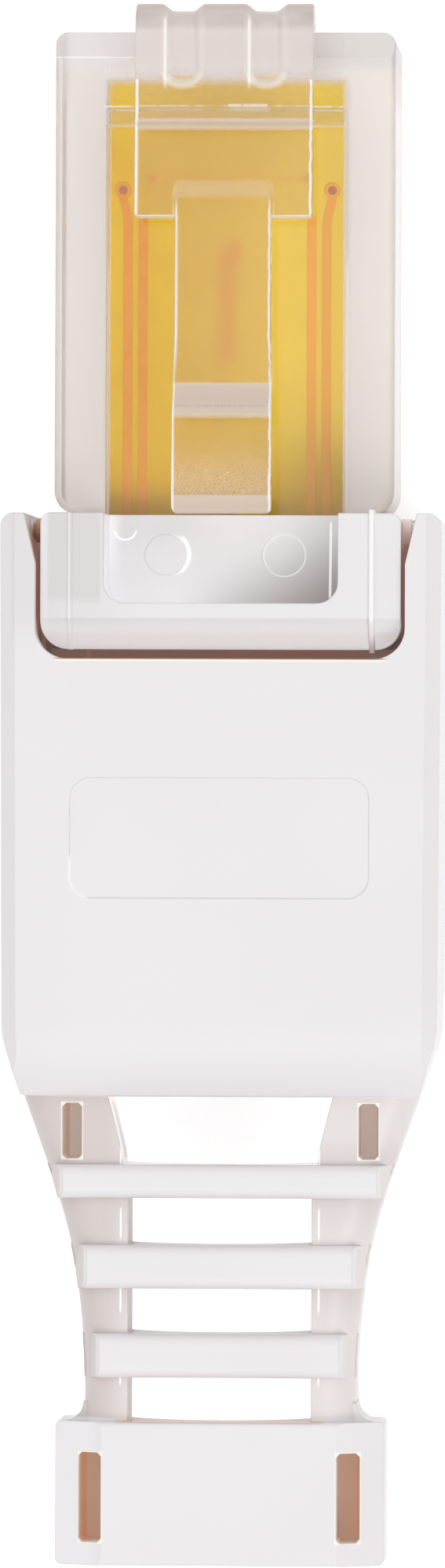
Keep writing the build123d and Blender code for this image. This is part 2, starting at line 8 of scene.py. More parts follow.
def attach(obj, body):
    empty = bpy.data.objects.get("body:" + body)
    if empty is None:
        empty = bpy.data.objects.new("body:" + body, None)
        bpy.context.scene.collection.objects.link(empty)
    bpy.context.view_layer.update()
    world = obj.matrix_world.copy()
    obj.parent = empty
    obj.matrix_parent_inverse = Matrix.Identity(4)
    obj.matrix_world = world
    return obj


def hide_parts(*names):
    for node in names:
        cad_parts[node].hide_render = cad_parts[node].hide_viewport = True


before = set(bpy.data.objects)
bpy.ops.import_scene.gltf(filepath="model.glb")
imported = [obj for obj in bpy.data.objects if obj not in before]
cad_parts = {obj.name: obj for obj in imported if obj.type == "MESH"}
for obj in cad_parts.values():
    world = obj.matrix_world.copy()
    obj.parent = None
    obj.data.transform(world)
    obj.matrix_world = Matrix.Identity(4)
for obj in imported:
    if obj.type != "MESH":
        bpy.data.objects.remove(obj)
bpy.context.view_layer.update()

# Camera: straight above the plug, a touch off to the right, nose at the top of the picture.
# The whole plug fills the height of the frame.
MM = 0.001
FRAME_HEIGHT = 53.84 * MM
CAMERA_REACH = 0.42
CAMERA_LEAN = math.radians(2.5)
CAMERA_ROLL = math.radians(0.2)
CAMERA_AIM = Vector((-0.02 * MM, -8.69 * MM, 9.2 * MM))
SENSOR_SIZE = 36.0

camera_data = bpy.data.cameras.new("camera")
camera_data.sensor_width = SENSOR_SIZE
camera_data.lens = SENSOR_SIZE * CAMERA_REACH / FRAME_HEIGHT
camera_data.clip_start = 0.01
camera_data.clip_end = 10.0
camera = bpy.data.objects.new("camera", camera_data)
bpy.context.scene.collection.objects.link(camera)
turned = Matrix.Rotation(CAMERA_LEAN, 4, "Y") @ Matrix.Rotation(CAMERA_ROLL, 4, "Z")
camera.matrix_world = Matrix.Translation(CAMERA_AIM) @ turned @ Matrix.Translation((0, 0, CAMERA_REACH))
bpy.context.scene.camera = camera
bpy.context.scene.view_settings.view_transform = "Standard"


# Nose shell: clear polycarbonate, moulded in one shot with the latch.
# It is open at the back and slides over the board and its comb of contacts.
# Places in the materials are in millimetres: x to the right, y towards the nose, z up.


class Value:
    """A shader socket that adds Math nodes when it is used in an expression."""

    def __init__(self, paint, socket):
        self.paint = paint
        self.socket = socket

    def math(self, operation, *others):
        return self.paint.node("Math", {"operation": operation}, [self, *others])

    def __add__(self, other):
        return self.math("ADD", other)

    def __radd__(self, other):
        return self.math("ADD", other)

    def __sub__(self, other):
        return self.math("SUBTRACT", other)

    def __rsub__(self, other):
        return self.paint.node("Math", {"operation": "SUBTRACT"}, [other, self])

    def __mul__(self, other):
        return self.math("MULTIPLY", other)

    def __rmul__(self, other):
        return self.math("MULTIPLY", other)

    def __abs__(self):
        return self.math("ABSOLUTE")

    def larger(self, other):
        return self.math("MAXIMUM", other)

    def clamp(self):
        return self.paint.node("Clamp", {}, [self, 0.0, 1.0])

    def rises(self, start, end):
        """Goes smoothly from 0 at start to 1 at end."""
        settings = {"interpolation_type": "SMOOTHSTEP"}
        return self.paint.node("MapRange", settings, {"Value": self, "From Min": start, "From Max": end})

    def falls(self, start, end):
        """Goes smoothly from 1 at start to 0 at end."""
        return 1.0 - self.rises(start, end)

    def between(self, low, high, soft):
        """One between low and high, and zero outside, over an edge of the given softness."""
        return self.rises(low - soft, low + soft) * self.falls(high - soft, high + soft)

    def near(self, middle, reach, soft):
        """One within a reach of the middle, and zero outside, over an edge of the given softness."""
        return self.between(middle - reach, middle + reach, soft)


class Paint:
    """One material: makes its nodes, and sets the sockets of its shader."""

    def __init__(self, name, kind="Material"):
        made = bpy.data.worlds.new(name) if kind == "World" else bpy.data.materials.new(name)
        made.use_nodes = True
        self.material = made
        self.tree = made.node_tree
        self.tree.nodes.clear()
        self.output = self.tree.nodes.new("ShaderNodeOutput" + kind)

    def put(self, socket, value):
        """Links a Value to a socket, or sets a plain number or colour on it."""
        if isinstance(value, Value):
            self.tree.links.new(value.socket, socket)
        elif isinstance(value, tuple) and socket.type == "RGBA":
            socket.default_value = (*value, 1.0)
        else:
            socket.default_value = value

    def node(self, kind, settings=None, values=(), output=0):
        """Adds a node: its kind, then its settings, then the values or links of its sockets."""
        made = self.tree.nodes.new("ShaderNode" + kind)
        for name, setting in (settings or {}).items():
            setattr(made, name, setting)
        pairs = values.items() if isinstance(values, dict) else enumerate(values)
        for name, value in pairs:
            self.put(made.inputs[name], value)
        return Value(self, made.outputs[output])

    def where(self):
        """Object coordinates in millimetres, as one vector."""
        here = self.node("TexCoord", output="Object")
        return self.node("VectorMath", {"operation": "SCALE"}, {"Vector": here, "Scale": 1.0 / MM})

    def split(self, vector):
        """The three parts of a vector."""
        first = self.node("SeparateXYZ", {}, [vector])
        return [Value(self, part) for part in first.socket.node.outputs]

    def noise(self, where, size, detail=2.0):
        """Soft noise from 0 to 1, with features of the given size in millimetres."""
        return self.node("TexNoise", {}, {"Vector": where, "Scale": 1.0 / size, "Detail": detail})

    def mix(self, share, first, second):
        """Blends two colours by a share."""
        settings = {"data_type": "RGBA", "clamp_factor": True}
        return self.node("Mix", settings, {0: share, 6: first, 7: second}, output=2)

    def bump(self, height, strength, distance, over=None):
        """A fine relief from a height, over the surface's own normal or another one."""
        values = {"Strength": strength, "Distance": distance, "Height": height}
        if over is not None:
            values["Normal"] = over
        return self.node("Bump", {}, values)

    def plastic(self, **sockets):
        """A surface shader, with its sockets named as words joined by underscores."""
        named = {}
        for name, value in sockets.items():
            named[name.replace("_", " ").title().replace("Ior", "IOR")] = value
        return self.node("BsdfPrincipled", {}, named)

    def blend(self, share, first, second):
        """Blends two shaders by a share."""
        return self.node("MixShader", {}, {0: share, 1: first, 2: second})

    def finish(self, shader):
        """Sends a shader to the surface."""
        self.tree.links.new(shader.socket, self.output.inputs["Surface"])

    def see_through(self, haze, glass, frost, straight=None):
        """Clear plastic with a share of frost, which lets the lamps' light through to what it covers.
        Where straight is one, it doesn't bend what shows through it either."""
        shadow = self.node("LightPath", output="Is Shadow Ray")
        gap = self.node("BsdfTransparent", {}, {"Color": (0.95, 0.945, 0.94)})
        bulk = glass if straight is None else self.blend(straight, glass, gap)
        self.finish(self.blend(shadow, self.blend(haze, bulk, frost), gap))


def srgb(red, green, blue):
    """A colour given as it looks on a screen, from 0 to 255, as the linear colour that a shader takes."""
    parts = np.array((red, green, blue)) / 255.0
    linear = np.where(parts <= 0.04045, parts / 12.92, ((parts + 0.055) / 1.055) ** 2.4)
    return tuple(float(part) for part in linear)


def coat(name, paint):
    """Puts a finish on a CAD piece."""
    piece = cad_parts[name]
    piece.data.materials.clear()
    piece.data.materials.append(paint.material)


# The roof steps up over the board between a foot and a head, and ends in front in a low brow.
STEP_FOOT, STEP_HEAD = 14.0, 14.57
STEP_LINE = 0.03
BROW_START, BROW_TOP = 15.6, 16.2
CLEAR_IOR = 1.5

clear = Paint("clear_polycarbonate")
where = clear.where()
x, y, _ = clear.split(where)
grain = clear.noise(where, 1.2)
inside = abs(x).falls(3.95, 4.2)
over_board = inside * y.falls(15.3, 15.9)
# Painted highlights: glints and a bright line along the head of the step, and a bright line along the
# brow's left part.
step_glints = y.between(STEP_HEAD - STEP_LINE, STEP_HEAD + 0.07, 0.02) * x.between(0.1, 1.45, 0.03)
step_glints = step_glints * clear.noise(where, 0.15).rises(0.3, 0.45)
head_line = y.near(STEP_HEAD, STEP_LINE, 0.015) * inside * clear.noise(where, 0.7).rises(0.35, 0.5) * 0.6
foot_line = y.near(STEP_FOOT, STEP_LINE, 0.015) * inside * 0.35
slope = y.between(STEP_FOOT - 0.06, STEP_HEAD + 0.03, 0.03) * inside
front_fog = y.between(15.5, 15.9, 0.08) * inside * 0.3
brow_line = y.near(16.26, 0.03, 0.02) * x.falls(-3.0, -2.5) * grain.rises(0.3, 0.6) * 0.5
lines = step_glints + head_line + brow_line
haze = 0.5 - over_board * 0.5 + lines + foot_line + slope * 0.1 + front_fog
straight = (slope * 0.92 + y.between(15.5, 15.74, 0.03) * inside * 0.85).clamp()
glass = clear.plastic(
    base_color=srgb(252, 250, 247),
    transmission_weight=1.0,
    ior=CLEAR_IOR,
    roughness=0.05 + grain * 0.04 + y.rises(14.5, 15.2) * (inside * 0.1 + 0.14),
)
brow = y.rises(BROW_START, BROW_TOP)
tone = clear.mix(brow * 0.8, srgb(240, 231, 225), srgb(240, 236, 238))
# Painted shade: the brow's frost is darker towards the right.
tone = clear.mix(brow * x.rises(1.5, 3.5) * 0.8, tone, srgb(212, 206, 204))
# The painted highlights are frosted near white.
tone = clear.mix((lines + brow_line).clamp(), tone, srgb(255, 253, 246))
frost = clear.plastic(base_color=tone, roughness=0.4)
clear.see_through(haze.clamp(), glass, frost, straight)
coat("plug_shell", clear)

# Latch: the same clear plastic, a ribbed arch with a long springy plate and a finger pad.
# It is moulded with the shell and bends at its root, and the mould leaves it finely frosted.
# Places along it are lengths rearwards from the middle of the arch, in its own sloping plane.
LATCH_RISE = math.radians(2.5)
ARCH_Y, ARCH_Z = 17.045, 9.3
ARCH_TURN = 136.0
ARCH_TOP, ARCH_INSIDE, ARCH_MIDDLE = 1.05, 0.3, 0.7
PLATE_STEP, PLATE_RISE = (3.03, 3.33), 0.25
PLATE_HALF, SHOULDER_START, SHOULDER, SHOULDER_ROUND = 3.05, 6.2, 6.37, 0.15
NECK_STEP, NECK_RISE, NECK_HALF, NECK_END = (5.14, 5.65), 0.12, 1.66, 12.1
TONGUE_HALF, TONGUE_SPREAD = 1.63, 0.07
TONGUE_START, TONGUE_STOP = 6.6, 16.3
RISER, RISER_TOP, RISER_UNDER = (12.02, 13.4), 0.6, 0.8
PAD_DROP, PAD_FALL = (16.03, 16.6), 0.3
LATCH_END, END_ROUND, END_EDGE = 16.56, 0.2, 0.06
LATCH_EDGE = 0.09
GROOVE_PLACE, GROOVE_FLAT = 1.43, 0.1
GROOVE_ROUND, GROOVE_END, GROOVE_DEPTH = 0.6, 1.26, 0.26

milky = Paint("clear_latch")
where = milky.where()
x, y, _ = milky.split(where)
grain = milky.noise(where, 0.3, 3.0)
speckle = milky.noise(where, 0.04)
wave = milky.noise(where, 0.5, 3.0) - 0.5
along = ARCH_Y - y
side = abs(x + wave * x.rises(0.0, 0.5) * 0.12)

arch_frost = along.falls(1.1, 1.9) * 0.5
# The arch's front tip, frosted in painted shade below.
tip = along.falls(-0.9, -0.6)
# Painted reflection: a band of frost over the step at the plate's front.
front_band = along.between(2.98, 3.32, 0.06) * 0.72
neck_band = along.between(5.1, 5.65, 0.12) * side.falls(1.5, 1.75) * 0.14
riser_line = along.near(12.82, 0.04, 0.04) * speckle.rises(0.45, 0.6)
riser_band = along.rises(11.98, 12.06) * along.falls(13.1, 13.3) * (0.86 - riser_line * 0.4)
pad_frost = along.rises(13.9, 15.8) * along.falls(15.8, 15.9) * speckle.rises(0.3, 0.75) * 0.6
end_frost = along.rises(15.82, 15.92) * 0.75

# Painted highlights: bright edge lines, streaks beside the grooves, and bright cups round their ends.
plate_line = side.between(2.94, 3.03, 0.025) * along.between(1.6, 6.42, 0.03)
tongue_edge = 1.6 + along.rises(10.0, 12.5) * 0.06
tongue_line = (side - tongue_edge).between(-0.045, 0.035, 0.02) * along.rises(5.3, 6.3)
shoulder_line = along.between(6.27, 6.36, 0.02) * side.between(1.64, 3.0, 0.02)
outlines = (plate_line + tongue_line + shoulder_line).clamp() * 0.9

aside = (abs(abs(x) - GROOVE_PLACE) - GROOVE_FLAT).larger(0.0)
beyond = (along - GROOVE_END).larger(0.0)
away = (aside * aside + beyond * beyond).math("SQRT")
cups = away.between(0.42, 0.62, 0.11) * (along.rises(1.2, 1.7) * 0.42 + 0.16) * along.rises(-0.9, -0.4)
streaks = x.between(-2.08, -1.97, 0.03) + x.between(0.8, 0.91, 0.03)
streaks = streaks * along.between(-0.5, 1.85, 0.2)

haze = 0.01 + arch_frost + tip * 0.45 + front_band + neck_band + riser_band + pad_frost + end_frost
haze = haze + outlines + streaks * 0.4 + cups
past_arch = along.rises(1.3, 2.0)
relief = along.rises(1.4, 2.2)
glass = milky.plastic(
    base_color=milky.mix(past_arch, srgb(244, 242, 240), srgb(243, 236, 224)),
    transmission_weight=1.0,
    ior=CLEAR_IOR,
    roughness=0.26 + past_arch * (grain * 0.06 - 0.16),
    normal=milky.bump(grain * relief, 0.05, 0.03 * MM),
)
tone = milky.mix(along.rises(2.7, 3.2), srgb(238, 231, 228), srgb(224, 208, 193))
tone = milky.mix(along.between(13.6, 15.85, 0.1), tone, srgb(240, 214, 182))
# Painted shade: the arch's front tip is a darker rosy grey.
tone = milky.mix(tip * 0.8, tone, srgb(206, 186, 175))
# The painted highlights are frosted near white.
tone = milky.mix((outlines + streaks + cups).clamp(), tone, srgb(255, 252, 246))
frost = milky.plastic(
    base_color=tone,
    roughness=0.4,
    normal=milky.bump(speckle * relief, 0.12, 0.03 * MM),
)
milky.see_through(haze.clamp(), glass, frost)


def ease(value, start, end):
    """Zero before start, one after end, and a smooth S between them."""
    share = np.clip((value - start) / (end - start), 0.0, 1.0)
    return share * share * (3.0 - 2.0 * share)


def quarter(value, start, end, size):
    """How far an edge has fallen along a quarter circle that begins at start and is done at end."""
    share = np.clip((value - start) / (end - start), 0.0, 1.0)
    return size * (1.0 - np.sqrt(1.0 - share * share))


def latch_half_width(along):
    """Half the latch's width: a wide plate, then the narrow tongue, with rounded shoulders and end."""
    plate = PLATE_HALF - quarter(along, SHOULDER - SHOULDER_ROUND, SHOULDER, SHOULDER_ROUND)
    tongue = TONGUE_HALF + TONGUE_SPREAD * ease(along, 6.4, 16.0)
    tongue = tongue + quarter(-along, -SHOULDER - SHOULDER_ROUND, -SHOULDER, SHOULDER_ROUND)
    tongue = tongue - quarter(along, LATCH_END - END_ROUND, LATCH_END, END_ROUND)
    return np.where(along <= SHOULDER, plate, tongue)


def latch_heights(along, across, half):
    """Heights of the latch's top and underside over its own sloping plane. The top steps up at the
    plate and at the tongue, rises to the finger pad and drops at its end. Two grooves with round
    ends run over the arch, and every long edge is rounded off."""
    top = ARCH_TOP + PLATE_RISE * ease(along, *PLATE_STEP) + RISER_TOP * ease(along, *RISER)
    top = top - PAD_FALL * ease(along, *PAD_DROP)
    on_neck = ease(NECK_HALF - np.abs(across), 0.0, 0.06) * (along < NECK_END)
    top = top + NECK_RISE * ease(along, *NECK_STEP) * on_neck
    aside = np.maximum(np.abs(np.abs(across) - GROOVE_PLACE) - GROOVE_FLAT, 0.0)
    beyond = np.maximum(along - GROOVE_END, 0.0)
    top = top - GROOVE_DEPTH * ease(GROOVE_ROUND - np.hypot(aside, beyond), -0.06, 0.4)
    under = ARCH_INSIDE + RISER_UNDER * ease(along, *RISER)
    edge = quarter(np.abs(across), half - LATCH_EDGE, half, LATCH_EDGE)
    end = quarter(along, LATCH_END - END_EDGE, LATCH_END, END_EDGE)
    return top - edge - end, under + edge + end


def latch_points():
    """A closed ring of points at each place along the latch, closest together where its outline turns.
    Along the arch the place is an angle and a height is a radius; along the straight part they are a
    length and a height."""
    turns = np.linspace(90.0 + ARCH_TURN, 90.0, 70, endpoint=False)
    straight = np.concatenate([
        np.linspace(0.0, SHOULDER_START, 78, endpoint=False),
        np.linspace(SHOULDER_START, SHOULDER, 10),
        np.linspace(SHOULDER + 0.0001, SHOULDER + 0.17, 10),
        np.linspace(TONGUE_START, TONGUE_STOP, 122),
        np.linspace(TONGUE_STOP + 0.04, LATCH_END, 14),
    ])
    along = np.concatenate([np.radians(90.0 - turns) * ARCH_MIDDLE, straight])
    angle = np.concatenate([np.radians(turns), np.full(len(straight), math.pi / 2)])
    half = latch_half_width(along)
    steps = np.sin(np.linspace(-1.0, 1.0, 91) * math.pi / 2)
    across = steps[None, :] * half[:, None]
    top, under = latch_heights(along[:, None], across, half[:, None])
    height = np.concatenate([top, under[:, ::-1]], 1)
    sideways = np.concatenate([across, across[:, ::-1]], 1)
    rearwards = height * np.cos(angle)[:, None] + np.maximum(along, 0.0)[:, None]
    upwards = height * np.sin(angle)[:, None]
    level, rise = math.cos(LATCH_RISE), math.sin(LATCH_RISE)
    points = np.stack([
        sideways,
        ARCH_Y - rearwards * level + upwards * rise,
        ARCH_Z + rearwards * rise + upwards * level,
    ], -1)
    return points[:, ::-1]


def grid_mesh(name, points):
    """A mesh from a grid of points, rows by ring: each row is joined to the next, the ring is closed,
    and the first and last rows get a cap of triangles round their middle point."""
    rows, ring = points.shape[:2]
    flat = points.reshape(-1, 3)
    index = np.arange(rows * ring).reshape(rows, ring)
    after = np.roll(index, -1, axis=1)
    quads = np.stack([index[:-1], after[:-1], after[1:], index[1:]], -1).reshape(-1, 4)
    middles = np.stack([points[0].mean(0), points[-1].mean(0)])
    first, last = len(flat), len(flat) + 1
    start_cap = np.stack([after[0], index[0], np.full(ring, first)], -1)
    end_cap = np.stack([index[-1], after[-1], np.full(ring, last)], -1)
    faces = quads.tolist() + start_cap.tolist() + end_cap.tolist()
    mesh = bpy.data.meshes.new(name)
    mesh.from_pydata((np.concatenate([flat, middles]) * MM).tolist(), [], faces)
    mesh.update()
    return mesh


def add_piece(name, points, paint, body):
    """Puts a new piece in the scene, with its shape and finish, on its body."""
    mesh = grid_mesh(name, points)
    mesh.materials.append(paint.material)
    made = bpy.data.objects.new(name, mesh)
    bpy.context.scene.collection.objects.link(made)
    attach(made, body)
    return made


latch_piece = add_piece("latch_spring", latch_points(), milky, "latch")
latch_piece.data.shade_smooth()
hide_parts("latch")

# Circuit board: yellow glass-epoxy laminate, seen through the nose shell.
# It lies on ledges in the base and carries the contacts below and the terminals above.
BOARD_TOP = 6.6
NO_GLOW = (0.0, 0.0, 0.0)
# Painted shade in the deep gap behind the collar: brown, with a warm painted glow.
GAP_SHADE_BROWN = srgb(160, 125, 110)
GAP_SHADE_GLOW = (0.12, 0.075, 0.06)

laminate = Paint("yellow_laminate")
where = laminate.where()
x, y, _ = laminate.split(where)
mottle = laminate.noise(where, 1.6, 3.0)
blur = laminate.noise(where, 0.6)
yellow = laminate.mix(mottle.rises(0.3, 0.7), srgb(240, 195, 0), srgb(244, 202, 8))
# Painted light: the yellow is lighter towards the right.
yellow = laminate.mix(x.rises(-3.0, 3.5) * 0.7, yellow, srgb(255, 224, 86))
yellow = laminate.mix(y.rises(13.8, 14.4) * 0.6, yellow, srgb(244, 214, 30))
# Painted shade: the yellow is darker towards the rear, by the collar.
yellow = laminate.mix(y.falls(1.0, 4.0) * 0.6, yellow, srgb(222, 172, 20))
stem = (x + 0.04 - (y - 5.5) * 0.012).near(0.0, 0.3, 0.24) * y.between(5.8, 9.9, 0.5)
lobe = x.near(0.3, 0.18, 0.16) * y.between(9.3, 10.0, 0.3)
smudge = (stem + lobe).clamp() * (0.4 + blur * 0.4)
cross_trace = y.near(12.15, 0.05, 0.06) * abs(x - 0.05).falls(2.6, 2.8) * 0.3
yellow = laminate.mix((smudge + cross_trace).clamp(), yellow, srgb(246, 164, 60))
# Painted shade: the strip of board under that gap is painted brown, with a warm painted glow.
gap_shade_on_board = y.between(-4.7, -3.6, 0.1)
laminate.finish(laminate.plastic(
    base_color=laminate.mix(gap_shade_on_board, yellow, GAP_SHADE_BROWN),
    roughness=0.45,
    specular_ior_level=0.15,
    emission_color=laminate.mix(gap_shade_on_board, NO_GLOW, GAP_SHADE_GLOW),
    emission_strength=1.0,
))
coat("circuit_board", laminate)

# Copper traces: etched strips under the yellow mask, an outer and an inner one on each side of the
# latch. Each outer one ends in a pad with a plated hole, and a small dot lies beside it.
TRACE_WIDTH, TRACE_REAR = 0.3, 0.6
OUTER_TRACE, OUTER_BEND, INNER_TRACE, INNER_FRONT = 3.43, 3.5, 2.91, 10.9
HOLE_X, HOLE_Y = 3.61, 11.8
BEND_FRONT, BEND_MIDDLE, BEND_REAR = 11.5, 11.1, 10.7
DOT_X, DOT_Y, DOT_SHIFT = 2.68, 12.15, 0.08

copper = Paint("masked_copper")
where = copper.where()
x, _, _ = copper.split(where)
wear = copper.noise(where, 0.5, 3.0)
# Painted light: the copper is lighter towards the right.
side_lit_copper = copper.mix(x.rises(-3.2, 3.2), srgb(242, 160, 38), srgb(255, 182, 62))
copper.finish(copper.plastic(
    base_color=copper.mix(wear.rises(0.3, 0.7) * 0.3, side_lit_copper, srgb(252, 186, 80)),
    roughness=0.4,
    specular_ior_level=0.2,
))
hole_brown = Paint("plated_hole")
hole_brown.finish(hole_brown.plastic(
    base_color=srgb(192, 124, 76),
    roughness=0.5 + hole_brown.noise(hole_brown.where(), 0.1) * 0.1,
))


def ribbon_points(route, thickness=0.03):
    """A flat copper strip: the route's points on the board, and a thin square section round each."""
    route = np.array(route, float)
    steps = np.gradient(route, axis=0)
    aside = np.stack([-steps[:, 1], steps[:, 0]], -1)
    aside /= np.linalg.norm(aside, axis=1)[:, None]
    left, right = route + aside * TRACE_WIDTH / 2, route - aside * TRACE_WIDTH / 2
    low = np.full((len(route), 1), BOARD_TOP)
    rings = [np.hstack([left, low + thickness]), np.hstack([left, low])]
    rings += [np.hstack([right, low]), np.hstack([right, low + thickness])]
    return np.stack(rings, 1)[:, ::-1]


def button_points(middle, radius, foot, top, steps=32):
    """A flat button turned about an upright axis: a radius and a height over the board for each ring
    of points, from the middle of its top over its bevelled rim to the middle of its foot."""
    bevel, pole = 0.01, 0.001
    radii = np.array((pole, radius - bevel, radius, radius, pole))[:, None]
    heights = BOARD_TOP + np.array((top, top, top - bevel, foot, foot))[:, None]
    turn = np.linspace(0.0, 2 * math.pi, steps, endpoint=False)[None, :]
    upright = np.broadcast_to(heights, (len(radii), steps))
    points = [middle[0] + radii * np.cos(turn), middle[1] + radii * np.sin(turn), upright]
    return np.stack(points, -1)[::-1]


for side, name in ((-1, "left"), (1, "right")):
    hole = (side * HOLE_X, HOLE_Y)
    outer = [hole, (side * HOLE_X, BEND_FRONT), (side * OUTER_BEND, BEND_MIDDLE)]
    outer += [(side * OUTER_TRACE, BEND_REAR), (side * OUTER_TRACE, TRACE_REAR)]
    inner = [(side * INNER_TRACE, place) for place in (INNER_FRONT, 8.0, TRACE_REAR)]
    dot = (side * DOT_X + DOT_SHIFT, DOT_Y)
    add_piece(f"trace_outer_{name}", ribbon_points(outer), copper, "base")
    add_piece(f"trace_inner_{name}", ribbon_points(inner), copper, "base")
    add_piece(f"pad_{name}", button_points(hole, 0.28, 0.0, 0.045), copper, "base")
    add_piece(f"hole_{name}", button_points(hole, 0.15, 0.01, 0.06), hole_brown, "base")
    add_piece(f"dot_{name}", button_points(dot, 0.14, 0.0, 0.03), copper, "base")

# Comb under the board: clear plastic ribs that keep the eight contacts apart.
# It is pressed into the front of the shell from behind.
comb = Paint("clear_comb")
cloudy = comb.noise(comb.where(), 0.5)
comb.finish(comb.plastic(
    base_color=comb.mix(cloudy, srgb(236, 232, 226), srgb(228, 224, 218)),
    roughness=0.35 + cloudy * 0.1,
    transmission_weight=0.4,
    ior=CLEAR_IOR,
))
coat("contact_carrier", comb)

# Contacts: eight gold-plated bronze blades, soldered under the board.
# They stand between the comb's ribs, where the springs of the socket press on them.
WIRE_COUNT = 8

gold = Paint("gold_plating")
gold.finish(gold.plastic(
    base_color=srgb(226, 176, 86),
    metallic=1.0,
    roughness=0.22 + gold.noise(gold.where(), 0.2) * 0.15,
))
for number in range(1, WIRE_COUNT + 1):
    coat(f"contact_{number}", gold)

# Base: white moulded half with the collar, the finger pocket and the hinge pins.
# The clear nose is held in its collar, and the cover swings on its two pins.
CREASE_REACH = 0.9 * MM
EDGE_ROUND = 0.08 * MM
GAP_HALF = (6.2, 6.4)
POCKET_HALF, POCKET_REAR, POCKET_SOFT = 4.01, -2.5, 0.05
MARK_PLACE, MARK_LEVEL, MARK_RADIUS = 2.0, -0.83, 0.72


def white_plastic(name, painted_light_marks):
    """White plastic: a fine grain, softly rounded edges, and the warm brown that light passing through the
    plastic leaves in creases, painted in as shade with a faint warm glow where ambient occlusion finds
    them. Each painted mark of light or shade is a mask, a colour and a glow."""
    paint = Paint(name)
    where = paint.where()
    cloud = paint.noise(where, 6.0)
    grain = paint.noise(where, 0.12)
    daylight = paint.node("AmbientOcclusion", {"samples": 8}, {"Distance": CREASE_REACH}, output="AO")
    # Painted shade: creases turn a warm brown, with a faint warm painted glow.
    crease_shade = daylight.falls(0.04, 0.4)
    colour = paint.mix(cloud.rises(0.3, 0.7), srgb(239, 237, 238), srgb(238, 235, 236))
    colour = paint.mix(crease_shade, colour, srgb(196, 166, 152))
    glow = paint.mix(crease_shade, NO_GLOW, (0.075, 0.045, 0.036))
    for mask, painted_tone, shine in painted_light_marks(*paint.split(where)):
        colour = paint.mix(mask, colour, painted_tone)
        glow = paint.mix(mask, glow, shine)
    rounded = paint.node("Bevel", {"samples": 6}, {"Radius": EDGE_ROUND})
    paint.finish(paint.plastic(
        base_color=colour,
        roughness=0.3 + grain * 0.1,
        emission_color=glow,
        emission_strength=1.0,
        normal=paint.bump(grain, 0.1, 0.01 * MM, rounded),
    ))
    return paint


def ring(x, y, middle_x, middle_y, radius, thick=0.03):
    """A thin circle drawn round a point of the plan."""
    aside, ahead = x - middle_x, y - middle_y
    away = (aside * aside + ahead * ahead).math("SQRT")
    return away.near(radius, thick, 0.02)


